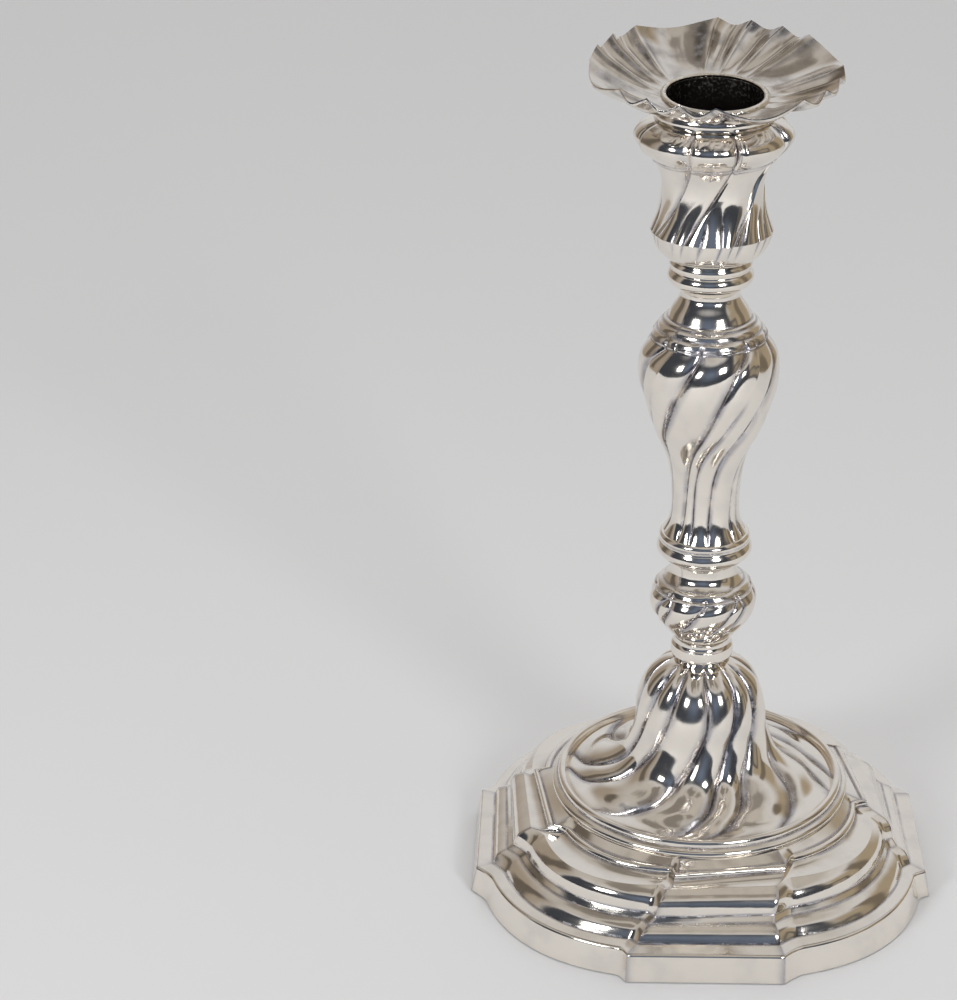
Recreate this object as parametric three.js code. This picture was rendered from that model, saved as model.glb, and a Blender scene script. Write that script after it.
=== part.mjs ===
// Silver candlestick with swirl-fluted stem, loose nozzle and stepped foot.
//
// Millimetres, +Z up, origin on the ground at the centre of the foot, front of the candlestick
// towards -Y. Angles are in degrees, counter-clockwise seen from above, with 0 at the front.
// The whole pattern repeats four times round the axis.

import * as THREE from 'three';

const REPEAT = 90;                 // one quarter of the pattern, in degrees
const QUARTERS = 4;
const FRONT = -90;                 // direction of the front, measured from +X
const SEAM = -40;                  // the stem castings meet in a plane at this angle
const SEAM_GAP = 0.3;              // left between the two halves of a casting
const LOBE_POWER = 0.55;           // 0.5 is an elliptical lobe, 1 a parabolic one
const WIDE_LOBE = 34;              // lobes this wide, in degrees, swell fully

const FOOT_WALL = 1.3;
const PAN_THICKNESS = 0.8;
const HOLE_RADIUS = 11;            // candle hole, for a 21 to 22 mm candle
const SLEEVE_RADIUS = 11.6;        // outside of the nozzle's sleeve
const WELL_RADIUS = 12.8;          // inside of the socket, loose enough for a nozzle set askew
const NOZZLE_PIVOT = 199.4;        // the nozzle leans about its own axis at this height
const NOZZLE_LEAN_FRONT = 5.6;     // degrees, back of the pan raised
const NOZZLE_LEAN_RIGHT = 1.6;     // degrees, left of the pan raised

const SILVER = { color: 0xcfcac0, roughness: 0.12, metalness: 1 };
const SOOTED_SILVER = { color: 0x4a443c, roughness: 0.5, metalness: 1 };
const WOOD = { color: 0xa88c78, roughness: 0.8, metalness: 0 };
const BAIZE = { color: 0x5d5c36, roughness: 1, metalness: 0 };

// ---------------------------------------------------------------- profiles

// Fluted surfaces are lists of stations: radius, height, the angles where the grooves lie in
// one quarter of the pattern, and the depth of each groove.

const DOME = [
  { r: 33.2, z: 24.0, grooves: [-12, 0, 38], depths: [0.5, 0.5, 0.4] },
  { r: 29.9, z: 24.9, grooves: [-5, 11, 49], depths: [1.2, 1.2, 1.0] },
  { r: 26.8, z: 26.9, grooves: [3, 21, 60], depths: [1.9, 1.8, 1.7] },
  { r: 22.6, z: 29.0, grooves: [9, 29, 68], depths: [2.1, 1.9, 2.0] },
  { r: 19.4, z: 31.5, grooves: [14, 35, 74], depths: [2.0, 1.8, 2.0] },
  { r: 17.7, z: 35.2, grooves: [20, 44, 83], depths: [1.8, 1.7, 1.8] },
  { r: 16.7, z: 38.9, grooves: [25, 51, 90], depths: [1.6, 1.5, 1.6] },
  { r: 16.0, z: 43.0, grooves: [31, 57, 96], depths: [1.5, 1.4, 1.5] },
  { r: 14.9, z: 47.3, grooves: [36, 61, 98], depths: [1.5, 1.4, 1.4] },
  { r: 13.4, z: 51.2, grooves: [39, 63, 98], depths: [1.4, 1.3, 1.3] },
  { r: 11.1, z: 54.4, grooves: [41, 64, 96], depths: [1.2, 1.1, 1.1] },
  { r: 8.6, z: 56.3, grooves: [41, 64, 96], depths: [0.8, 0.7, 0.7] },
  { r: 6.9, z: 56.9, grooves: [41, 64, 96], depths: [0.1, 0.1, 0.1] },
];

const KNOP = [
  { r: 6.9, z: 63.5, grooves: [2, 19, 52], depths: [0, 0, 0] },
  { r: 10.1, z: 67.2, grooves: [10, 27, 60], depths: [0.5, 0.4, 0.5] },
  { r: 12.0, z: 69.8, grooves: [20, 37, 70], depths: [0.9, 0.8, 0.9] },
  { r: 12.9, z: 72.5, grooves: [29, 46, 79], depths: [1.0, 0.9, 1.0] },
  { r: 13.0, z: 74.6, grooves: [35, 51, 85], depths: [0.9, 0.7, 0.9] },
  { r: 11.3, z: 76.7, grooves: [44, 50, 94], depths: [0.4, 0.3, 0.4] },
  { r: 10.4, z: 78.0, grooves: [45, 50, 94], depths: [0, 0, 0] },
  { r: 8.3, z: 80.9, grooves: [45, 50, 94], depths: [0, 0, 0] },
  { r: 8.0, z: 82.6, grooves: [45, 50, 94], depths: [0, 0, 0] },
  { r: 8.7, z: 85.0, grooves: [45, 50, 94], depths: [0, 0, 0] },
];

const STEM = [
  { r: 10.0, z: 91.7, grooves: [-43, -22, 6], depths: [0.3, 0.3, 0.3] },
  { r: 8.8, z: 94.5, grooves: [-42, -22, 6], depths: [0.9, 0.8, 0.8] },
  { r: 8.2, z: 99.8, grooves: [-38, -21, 8], depths: [1.0, 0.9, 0.9] },
  { r: 8.5, z: 106.0, grooves: [-33, -18, 12], depths: [1.1, 0.9, 1.0] },
  { r: 10.2, z: 113.0, grooves: [-21, -6, 22], depths: [1.2, 0.9, 1.2] },
  { r: 12.9, z: 118.7, grooves: [-6, 10, 35], depths: [1.4, 0.9, 1.4] },
  { r: 14.8, z: 124.6, grooves: [6, 24, 50], depths: [1.5, 0.6, 1.5] },
  { r: 16.2, z: 129.8, grooves: [13, 34, 60], depths: [1.5, 0.2, 1.5] },
  { r: 16.5, z: 133.6, grooves: [19, 40, 67], depths: [1.5, 0, 1.5] },
  { r: 16.0, z: 138.0, grooves: [27, 47, 75], depths: [1.3, 0, 1.3] },
  { r: 13.0, z: 142.3, grooves: [41, 55, 82], depths: [0.5, 0, 0.5] },
  { r: 11.8, z: 144.1, grooves: [41, 55, 82], depths: [0, 0, 0] },
  { r: 9.1, z: 146.6, grooves: [41, 55, 82], depths: [0, 0, 0] },
  { r: 8.8, z: 148.9, grooves: [41, 55, 82], depths: [0, 0, 0] },
  { r: 6.9, z: 152.2, grooves: [41, 55, 82], depths: [0, 0, 0] },
  { r: 8.4, z: 154.9, grooves: [41, 55, 82], depths: [0, 0, 0] },
];

const SOCKET = [
  { r: 9.2, z: 160.9, grooves: [12, 20, 45, 55, 73, 93], depths: [0, 0, 0, 0, 0, 0] },
  { r: 12.6, z: 163.8, grooves: [15, 23, 47, 57, 75, 95], depths: [0.1, 0.1, 0.1, 0.1, 0.1, 0.3] },
  { r: 14.3, z: 168.0, grooves: [20, 28, 51, 62, 80, 100], depths: [0.6, 0.6, 0.6, 0.6, 0.6, 0.6] },
  { r: 13.1, z: 171.2, grooves: [29, 36, 55, 69, 83, 101], depths: [0.9, 0.7, 0.6, 0.9, 0.6, 0.7] },
  { r: 12.2, z: 174.6, grooves: [42, 45, 63, 80, 86, 102], depths: [0.9, 0.3, 0.2, 0.9, 0.3, 0.4] },
  { r: 11.8, z: 177.6, grooves: [51, 53, 72, 90, 94, 103], depths: [0.9, 0, 0, 0.9, 0, 0] },
  { r: 12.2, z: 181.6, grooves: [61, 63, 83, 102, 104, 108], depths: [0.8, 0, 0, 0.8, 0, 0] },
  { r: 14.0, z: 185.1, grooves: [69, 71, 90, 108, 110, 113], depths: [0.4, 0, 0, 0.4, 0, 0] },
  { r: 16.4, z: 187.4, grooves: [71, 73, 90, 109, 111, 114], depths: [0.8, 0, 0, 0.8, 0, 0] },
  { r: 18.1, z: 190.3, grooves: [71, 73, 90, 109, 111, 114], depths: [1.3, 0, 0, 1.3, 0, 0] },
  { r: 17.3, z: 192.2, grooves: [71, 73, 90, 109, 111, 114], depths: [1.1, 0, 0, 1.1, 0, 0] },
  { r: 14.0, z: 194.1, grooves: [71, 73, 90, 109, 111, 114], depths: [0.3, 0, 0, 0.3, 0, 0] },
];

// Insides of the hollow castings.
const DOME_INSIDE = [
  { r: 32.9, z: 22.9 },
  { r: 26.8, z: 23.8 },
  { r: 15.8, z: 31.0 },
  { r: 14.2, z: 36.0 },
  { r: 13.0, z: 43.0 },
  { r: 10.6, z: 50.6 },
  { r: 5.4, z: 56.6 },
];
const KNOP_INSIDE = [
  { r: 5.4, z: 63.5 },
  { r: 8.0, z: 67.2 },
  { r: 10.4, z: 73.0 },
  { r: 6.4, z: 80.9 },
  { r: 6.4, z: 85.0 },
];
const STEM_INSIDE = [
  { r: 7.4, z: 91.7 },
  { r: 5.8, z: 99.0 },
  { r: 5.8, z: 106.0 },
  { r: 12.6, z: 131.3 },
  { r: 12.6, z: 138.6 },
  { r: 7.2, z: 147.0 },
  { r: 5.3, z: 152.2 },
  { r: 6.2, z: 154.9 },
];

// Inside of the socket: hollow up to the floor, then the well that takes the nozzle's sleeve.
const SOCKET_INSIDE = [
  { r: 7.0, z: 160.9 },
  { r: 10.6, z: 167.5 },
  { r: 9.2, z: 177.5 },
  { r: WELL_RADIUS, z: 184.6 },
  { r: WELL_RADIUS, z: 194.1 },
];

// Drip pan: one wide panel and three narrow channels to a quarter, with ridges between.
const PAN = [
  { r: 12.6, z: 199.4, ridges: [12, 54, 70, 86], lift: 0.1 },
  { r: 14.6, z: 199.8, ridges: [10, 52, 68, 84], lift: 0.5 },
  { r: 18.2, z: 201.1, ridges: [7, 49, 65, 81], lift: 1.2 },
  { r: 22.4, z: 203.0, ridges: [4, 46, 62, 78], lift: 1.8 },
  { r: 25.9, z: 204.8, ridges: [2, 44, 60, 76], lift: 2.1 },
  { r: 28.0, z: 206.2, ridges: [0, 42, 58, 74], lift: 2.2 },
];
const PAN_SCALLOP = 0.7;           // how far the rim of each channel stands out

// Levels of the foot: distance of the flats, half angle of a flat, turn of the outline,
// radius where the outline dips beside a corner, and radius in the middle of a bowed side.
const BAND_FOOT = { z: 0, flat: 57.0, half: 18.2, turn: 2.6, dip: 58.0, bow: 60.0 };
const BAND_TOP = { z: 6.8, flat: 55.5, half: 18.4, turn: 2.8, dip: 56.4, bow: 58.1 };
const MOULDING = [
  { z: 7.1, flat: 55.2, half: 18.4, turn: 2.8, dip: 56.1, bow: 57.8 },
  { z: 7.4, flat: 51.9, half: 18.0, turn: 3.6, dip: 53.1, bow: 55.2 },
  { z: 9.6, flat: 50.8, half: 17.6, turn: 4.1, dip: 51.6, bow: 53.6 },
  { z: 10.9, flat: 48.5, half: 17.2, turn: 4.6, dip: 49.1, bow: 51.0 },
  { z: 12.3, flat: 47.2, half: 16.8, turn: 5.7, dip: 47.8, bow: 49.8 },
  { z: 15.4, flat: 46.4, half: 17.0, turn: 6.8, dip: 46.8, bow: 49.4 },
  { z: 17.6, flat: 43.4, half: 17.2, turn: 8.0, dip: 43.8, bow: 47.2 },
  { z: 18.3, flat: 41.0, half: 18.0, turn: 10.6, dip: 40.8, bow: 42.8 },
  { z: 19.6, flat: 39.1, half: 19.0, turn: 12.7, dip: 38.6, bow: 39.5 },
  { z: 21.3, flat: 36.8, half: 19.0, turn: 12.7, dip: 36.8, bow: 36.8, round: true },
];
const SHORT_DIP = 3;               // degrees from a corner to the dip, clockwise side
const LONG_DIP = 6;                // and counter-clockwise side

// Plain rings: closed outlines of radius and height.
const BEAD_RING = [[33.6, 22.6], [36.4, 21.8], [36.5, 23.0], [35.6, 23.9], [35.0, 25.3], [33.7, 25.3]];
const KNOP_FOOT_RING = [
  [5.2, 57.3], [6.9, 57.3], [7.6, 59.4], [7.4, 61.4], [6.8, 62.6], [6.8, 63.2], [5.2, 63.2],
];
const STEM_FOOT_RING = [
  [6.0, 85.3], [9.6, 85.3], [11.3, 86.7], [11.5, 88.0],
  [10.7, 89.7], [10.7, 90.8], [10.0, 91.4], [6.0, 91.4],
];
const SOCKET_FOOT_RING = [
  [5.4, 155.2], [8.9, 155.2], [9.9, 156.3], [9.9, 157.9],
  [9.3, 158.8], [9.3, 160.1], [8.8, 160.6], [5.4, 160.6],
];
const SOCKET_MOUTH_RING = [
  [WELL_RADIUS, 194.4], [13.3, 194.4], [13.9, 195.9], [13.5, 197.1], [WELL_RADIUS, 197.1],
];
const NOZZLE_SLEEVE = [
  [HOLE_RADIUS, 189.6], [SLEEVE_RADIUS, 189.6], [SLEEVE_RADIUS, 199.0],
  [12.3, 199.6], [11.8, 200.3], [HOLE_RADIUS, 200.0],
];

const SOCKET_FLOOR = { radius: 8.8, low: 176.2, high: 177.2 };
const BASE_BOARD = { radius: 53.0, low: 1.6, high: 5.6 };
const BAIZE_PAD = { radius: 52.4, low: 0.5, high: 1.3 };

// ---------------------------------------------------------------- geometry

function place(radius, angle, height) {
  const direction = THREE.MathUtils.degToRad(angle + FRONT);
  return new THREE.Vector3(radius * Math.cos(direction), radius * Math.sin(direction), height);
}

// Groove depth at one angle of a station: full in a groove, nothing on the crest of a wide lobe.
function grooveDepth(station, angle) {
  const { grooves, depths } = station;
  const first = grooves[0];
  const local = first + THREE.MathUtils.euclideanModulo(angle - first, REPEAT);
  const edges = [...grooves, first + REPEAT];
  const lobe = edges.findLastIndex((edge) => edge <= local);
  const index = Math.min(Math.max(lobe, 0), grooves.length - 1);
  const width = edges[index + 1] - edges[index];
  const across = (local - edges[index]) / width;
  const depth = THREE.MathUtils.lerp(depths[index], depths[(index + 1) % depths.length], across);
  return depth * (1 - lobeSwell(across, width));
}

function lobeSwell(across, width) {
  const fullness = Math.min(1, Math.sqrt(width / WIDE_LOBE));
  return fullness * Math.pow(Math.max(0, 4 * across * (1 - across)), LOBE_POWER);
}

// Outward normal of a profile in the plane of radius and height, at station i.
function profileNormal(stations, i) {
  const before = stations[Math.max(i - 1, 0)];
  const after = stations[Math.min(i + 1, stations.length - 1)];
  const along = new THREE.Vector2(after.r - before.r, after.z - before.z).normalize();
  return new THREE.Vector2(along.y, -along.x);
}

function flutedPoint(stations, i, angle) {
  const station = stations[i];
  const normal = profileNormal(stations, i);
  const depth = grooveDepth(station, angle);
  return place(station.r - normal.x * depth, angle, station.z - normal.y * depth);
}

// Angles of the columns of one station, following its grooves round the whole circle.
function followGrooves(edges, columnsPerLobe) {
  const angles = [];
  for (let quarter = 0; quarter < QUARTERS; quarter++) {
    edges.forEach((edge, i) => {
      const next = i + 1 < edges.length ? edges[i + 1] : edges[0] + REPEAT;
      for (let k = 0; k < columnsPerLobe; k++) {
        angles.push(quarter * REPEAT + edge + ((next - edge) * k) / columnsPerLobe);
      }
    });
  }
  return angles;
}

// A solid from rows of points that follow each other round a closed loop. A full ring closes on
// itself; a half ring is open at its first and last columns, and addCap closes those.
function solidFromRows(rows, full = true) {
  const columns = rows[0].length;
  const positions = rows.flat().flatMap((point) => [point.x, point.y, point.z]);
  const index = [];
  const steps = full ? columns : columns - 1;
  rows.forEach((row, i) => {
    const here = i * columns;
    const above = ((i + 1) % rows.length) * columns;
    for (let k = 0; k < steps; k++) {
      const next = (k + 1) % columns;
      index.push(here + k, here + next, above + next);
      index.push(here + k, above + next, above + k);
    }
  });
  if (!full) {
    addCap(index, rows, 0, 1);
    addCap(index, rows, columns - 1, -1);
  }
  return faceOutward(positions, index);
}

// Closes the end of a half ring. Order is 1 where the cap follows the rows and -1 where it runs back.
function addCap(index, rows, column, order) {
  const columns = rows[0].length;
  const outline = rows.map((row) => {
    const point = row[column];
    return new THREE.Vector2(Math.hypot(point.x, point.y), point.z);
  });
  const winding = Math.sign(THREE.ShapeUtils.area(outline));
  for (const [a, b, c] of THREE.ShapeUtils.triangulateShape(outline, [])) {
    const turn = Math.sign(THREE.ShapeUtils.area([outline[a], outline[b], outline[c]]));
    const corners = turn * winding * order > 0 ? [a, b, c] : [a, c, b];
    index.push(...corners.map((row) => row * columns + column));
  }
}

function signedVolume(positions, index) {
  const corner = (k) => new THREE.Vector3().fromArray(positions, index[k] * 3);
  let volume = 0;
  for (let k = 0; k < index.length; k += 3) {
    volume += corner(k).dot(corner(k + 1).cross(corner(k + 2)));
  }
  return volume;
}

function faceOutward(positions, index) {
  if (signedVolume(positions, index) < 0) {
    for (let k = 0; k < index.length; k += 3) {
      [index[k + 1], index[k + 2]] = [index[k + 2], index[k + 1]];
    }
  }
  const geometry = new THREE.BufferGeometry();
  geometry.setAttribute('position', new THREE.Float32BufferAttribute(positions, 3));
  geometry.setIndex(index);
  geometry.computeVertexNormals();
  return geometry;
}

// Whole fluted shell: its columns follow the grooves, inside as well as outside.
function flutedShell(stations, insideProfile, columnsPerLobe) {
  const anglesAt = (station) => followGrooves(station.grooves, columnsPerLobe);
  const nearest = (z) => stations.reduce((a, b) => (Math.abs(b.z - z) < Math.abs(a.z - z) ? b : a));
  const outside = stations.map((station, i) =>
    anglesAt(station).map((angle) => flutedPoint(stations, i, angle)));
  const inside = insideProfile.map(({ r, z }) =>
    anglesAt(nearest(z)).map((angle) => place(r, angle, z)));
  return solidFromRows([...outside, ...inside.reverse()]);
}

// Half of a cast shell on one side of the seam plane. insideProfile is a list of radius and height.
function castHalf(stations, insideProfile, side, columns) {
  const start = SEAM + (side > 0 ? 0 : 180);
  const angles = Array.from({ length: columns + 1 }, (_, k) => start + (180 * k) / columns);
  const outside = stations.map((_, i) => angles.map((angle) => flutedPoint(stations, i, angle)));
  const inside = insideProfile.map(({ r, z }) => angles.map((angle) => place(r, angle, z)));
  const geometry = solidFromRows([...outside, ...inside.reverse()], false);
  const away = place(SEAM_GAP / 2, start + 90, 0);
  geometry.translate(away.x, away.y, 0);
  return geometry;
}

// Plain round ring from a closed outline of radius and height.
function plainRing(outline, segments) {
  const rows = outline.map(([radius, height]) =>
    Array.from({ length: segments }, (_, k) => place(radius, (360 * k) / segments, height)));
  return solidFromRows(rows);
}

function disc({ radius, low, high }, segments) {
  const outline = [[0, low], [radius, low], [radius, high], [0, high]];
  const geometry = new THREE.LatheGeometry(outline.map(([r, z]) => new THREE.Vector2(r, z)), segments);
  geometry.rotateX(Math.PI / 2);
  return geometry;
}

// Drip pan: the ridges stand up, and the rim of each channel stands out.
function panPoint(station, ridgeAngle, angle, width, under) {
  const across = (angle - ridgeAngle) / width;
  const hollow = lobeSwell(across, width);
  const height = station.z + station.lift * (0.5 - hollow) - (under ? PAN_THICKNESS : 0);
  const scallop = (PAN_SCALLOP * hollow * station.lift) / PAN[PAN.length - 1].lift;
  return place(station.r + scallop, angle, height);
}

function panRow(station, columnsPerLobe, under) {
  const { ridges } = station;
  const row = [];
  for (let quarter = 0; quarter < QUARTERS; quarter++) {
    ridges.forEach((ridge, i) => {
      const next = i + 1 < ridges.length ? ridges[i + 1] : ridges[0] + REPEAT;
      const start = quarter * REPEAT + ridge;
      for (let k = 0; k < columnsPerLobe; k++) {
        const angle = start + ((next - ridge) * k) / columnsPerLobe;
        row.push(panPoint(station, start, angle, next - ridge, under));
      }
    });
  }
  return row;
}

function panGeometry(columnsPerLobe) {
  const top = PAN.map((station) => panRow(station, columnsPerLobe, false));
  const bottom = PAN.map((station) => panRow(station, columnsPerLobe, true));
  return solidFromRows([...top, ...bottom.reverse()]);
}

// Outline of the foot at one level: a flat, a corner, a dip and a bowed side in each quarter. The
// top level is round.
function footRow(level, inset = 0, drop = 0) {
  const row = [];
  const corner = level.round ? level.flat : level.flat / Math.cos(THREE.MathUtils.degToRad(level.half));
  const add = (quarter, local, radius) => {
    row.push(place(radius - inset, quarter * REPEAT + level.turn + local, level.z - drop));
  };
  for (let quarter = 0; quarter < QUARTERS; quarter++) {
    add(quarter, -level.half, corner);
    add(quarter, 0, level.flat);
    add(quarter, level.half, corner);
    add(quarter, level.half + LONG_DIP / 2, THREE.MathUtils.lerp(corner, level.dip, 0.75));
    add(quarter, level.half + LONG_DIP, level.dip);
    const bowStart = level.half + LONG_DIP;
    const bowEnd = REPEAT - level.half - SHORT_DIP;
    for (const across of [0.2, 0.36, 0.52, 0.68, 0.84]) {
      const angle = THREE.MathUtils.lerp(bowStart, bowEnd, across);
      const swell = Math.sin(across * Math.PI);
      add(quarter, angle, THREE.MathUtils.lerp(level.dip, level.bow, swell));
    }
    add(quarter, bowEnd, level.dip);
  }
  return row;
}

function footBand() {
  const outside = [footRow(BAND_FOOT), footRow(BAND_TOP)];
  const inside = [footRow(BAND_TOP, FOOT_WALL), footRow(BAND_FOOT, FOOT_WALL)];
  return solidFromRows([...outside, ...inside]);
}

// The moulding's lowest ledge is solid down to its first level; above it the wall is hollow.
function footMoulding() {
  const outside = MOULDING.map((level) => footRow(level));
  const [first, ledge, bulge] = MOULDING;
  const inside = [
    footRow(ledge, FOOT_WALL, ledge.z - first.z),
    footRow(bulge, FOOT_WALL, FOOT_WALL),
    footRow(MOULDING[5], FOOT_WALL, FOOT_WALL),
    footRow(MOULDING[7], FOOT_WALL, FOOT_WALL),
    footRow(MOULDING.at(-1), 0, FOOT_WALL),
  ];
  return solidFromRows([...outside, ...inside.reverse()]);
}

// ---------------------------------------------------------------- assembly

const candlestick = new THREE.Group();
const nozzle = new THREE.Group();
candlestick.add(nozzle);
leanNozzle();

// Turns the nozzle about its pivot, so that it sits askew in the socket.
function leanNozzle() {
  const pivot = new THREE.Vector3(0, 0, NOZZLE_PIVOT);
  nozzle.rotation.set(
    THREE.MathUtils.degToRad(NOZZLE_LEAN_FRONT), THREE.MathUtils.degToRad(NOZZLE_LEAN_RIGHT), 0);
  nozzle.position.copy(pivot).sub(pivot.clone().applyEuler(nozzle.rotation));
}

function addPiece(parent, name, geometry, look) {
  const mesh = new THREE.Mesh(geometry, new THREE.MeshStandardMaterial(look));
  mesh.name = name;
  parent.add(mesh);
}

function addCastPair(name, stations, inside, columns) {
  addPiece(candlestick, `${name}_half_right`, castHalf(stations, inside, 1, columns), SILVER);
  addPiece(candlestick, `${name}_half_left`, castHalf(stations, inside, -1, columns), SILVER);
}

addPiece(nozzle, 'drip_pan', panGeometry(3), SILVER);
addPiece(nozzle, 'nozzle_sleeve', plainRing(NOZZLE_SLEEVE, 32), SOOTED_SILVER);

addPiece(candlestick, 'socket_mouth_ring', plainRing(SOCKET_MOUTH_RING, 32), SILVER);
addCastPair('socket', SOCKET, SOCKET_INSIDE, 24);
addPiece(candlestick, 'socket_floor', disc(SOCKET_FLOOR, 24), SOOTED_SILVER);
addPiece(candlestick, 'socket_foot_ring', plainRing(SOCKET_FOOT_RING, 24), SILVER);

addCastPair('stem', STEM, STEM_INSIDE, 22);
addPiece(candlestick, 'stem_foot_ring', plainRing(STEM_FOOT_RING, 24), SILVER);

addCastPair('knop', KNOP, KNOP_INSIDE, 20);
addPiece(candlestick, 'knop_foot_ring', plainRing(KNOP_FOOT_RING, 24), SILVER);

addPiece(candlestick, 'base_dome', flutedShell(DOME, DOME_INSIDE, 4), SILVER);
addPiece(candlestick, 'bead_ring', plainRing(BEAD_RING, 48), SILVER);
addPiece(candlestick, 'foot_moulding', footMoulding(), SILVER);
addPiece(candlestick, 'foot_band', footBand(), SILVER);
addPiece(candlestick, 'base_board', disc(BASE_BOARD, 36), WOOD);
addPiece(candlestick, 'baize_pad', disc(BAIZE_PAD, 36), BAIZE);

export default candlestick;
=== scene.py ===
"""Looks of the silver candlestick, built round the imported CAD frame.

Tables are in millimetres and become metres in place(). Angles are in degrees, counter-clockwise
seen from above, with 0 at the front of the candlestick (-Y). The pattern repeats four times.
"""

import math

import bmesh
import bpy
import numpy as np
from mathutils import Matrix, Vector


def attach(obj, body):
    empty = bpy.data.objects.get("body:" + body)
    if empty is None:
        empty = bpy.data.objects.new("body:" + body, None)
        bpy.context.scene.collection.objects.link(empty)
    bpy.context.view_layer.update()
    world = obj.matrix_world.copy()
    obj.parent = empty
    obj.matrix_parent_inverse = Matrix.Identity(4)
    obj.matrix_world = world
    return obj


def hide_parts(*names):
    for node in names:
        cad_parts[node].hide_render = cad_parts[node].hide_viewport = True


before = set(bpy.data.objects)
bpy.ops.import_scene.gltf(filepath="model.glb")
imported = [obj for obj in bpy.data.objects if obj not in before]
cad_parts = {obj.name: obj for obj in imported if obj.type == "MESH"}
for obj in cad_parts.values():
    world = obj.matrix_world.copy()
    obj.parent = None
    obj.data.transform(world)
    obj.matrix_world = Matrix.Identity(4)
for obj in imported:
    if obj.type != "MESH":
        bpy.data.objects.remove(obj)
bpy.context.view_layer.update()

MM = 0.001
REPEAT = 90.0                  # one quarter of the pattern
QUARTERS = 4
SEAM = -40.0                   # the cast halves meet in a plane at this angle
LOBE_POWER = 0.55              # 0.5 is an elliptical lobe, 1 a parabolic one
WIDE_LOBE = 34.0               # lobes this wide swell fully
EASE = 0.8                     # how strongly rows and columns gather at edges
SHARP = math.radians(48)       # edges steeper than this stay sharp
FAR = 99.0                     # distance of a crease where there is none

CREASE_REACH = 0.45            # how far tarnish spreads from a crease
FOOT_CREASE_REACH = 0.5
SEAM_REACH = 2.0               # degrees to each side of the seam where it is tarnished
PLAIN_DEPTH = 0.1              # a row with shallower grooves than this counts as plain
TARNISH_DEPTH = 0.4            # grooves this deep are fully tarnished
CORNER_TARNISH = 0.7           # at the corners of the foot

NOZZLE_PIVOT = 199.4           # the nozzle leans about its own axis at this height
NOZZLE_LEAN_FRONT = 5.6
NOZZLE_LEAN_RIGHT = 1.6

# ---------------------------------------------------------------- profiles
# A profile is a list of runs, and each run is a smooth curve through its stations. Runs meet in
# a crisp edge. A fluted station is radius, height, the grooves of one quarter and their depths.
# The insides of the castings are radius and height only.

DOME = [
    [
        (34.0, 23.4, -12, 0, 38, 0.3, 0.3, 0.3),
        (33.2, 24.0, -12, 0, 38, 0.5, 0.5, 0.4),
        (29.9, 24.9, -5, 11, 49, 1.2, 1.2, 1.0),
        (26.8, 26.9, 3, 21, 60, 1.9, 1.8, 1.7),
        (22.6, 29.0, 9, 29, 68, 2.1, 1.9, 2.0),
        (19.4, 31.5, 14, 35, 74, 2.0, 1.8, 2.0),
        (17.7, 35.2, 20, 44, 83, 1.8, 1.7, 1.8),
        (16.7, 38.9, 25, 51, 90, 1.6, 1.5, 1.6),
        (16.3, 43.0, 31, 57, 96, 1.6, 1.5, 1.6),
        (15.5, 47.3, 36, 61, 98, 1.7, 1.6, 1.6),
        (14.0, 51.2, 39, 63, 98, 1.6, 1.5, 1.5),
        (11.4, 54.4, 41, 64, 96, 1.3, 1.2, 1.2),
        (8.6, 56.3, 41, 64, 96, 0.8, 0.7, 0.7),
        (6.9, 56.9, 41, 64, 96, 0.1, 0.1, 0.1),
    ],
]
DOME_INSIDE = [
    (5.4, 56.6), (10.6, 50.6), (13.0, 43.0), (14.2, 36.0),
    (15.8, 31.0), (26.8, 23.8), (32.9, 22.9),
]

KNOP = [
    [
        (6.9, 63.5, 2, 19, 52, 0, 0, 0),
        (10.1, 67.2, 10, 27, 60, 0.5, 0.4, 0.5),
        (12.0, 69.8, 20, 37, 70, 0.9, 0.8, 0.9),
        (12.9, 72.5, 29, 46, 79, 1.0, 0.9, 1.0),
        (13.0, 74.6, 35, 51, 85, 0.9, 0.7, 0.9),
        (11.9, 76.7, 44, 50, 94, 0.6, 0.5, 0.6),
    ],
    [
        (11.9, 76.7, 44, 50, 94, 0.6, 0.5, 0.6),
        (12.1, 77.1, 44, 50, 94, 0.7, 0.6, 0.7),
        (11.5, 77.5, 44, 50, 94, 0.5, 0.4, 0.5),
    ],
    [
        (11.5, 77.5, 44, 50, 94, 0.5, 0.4, 0.5),
        (10.9, 78.5, 45, 50, 94, 0, 0, 0),
        (9.8, 79.1, 45, 50, 94, 0, 0, 0),
    ],
    [
        (9.8, 79.1, 45, 50, 94, 0, 0, 0),
        (8.3, 80.9, 45, 50, 94, 0, 0, 0),
        (8.0, 82.6, 45, 50, 94, 0, 0, 0),
        (8.7, 85.1, 45, 50, 94, 0, 0, 0),
    ],
]
KNOP_INSIDE = [(6.4, 85.0), (6.4, 80.9), (10.4, 73.0), (8.0, 67.2), (5.4, 63.5)]

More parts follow.
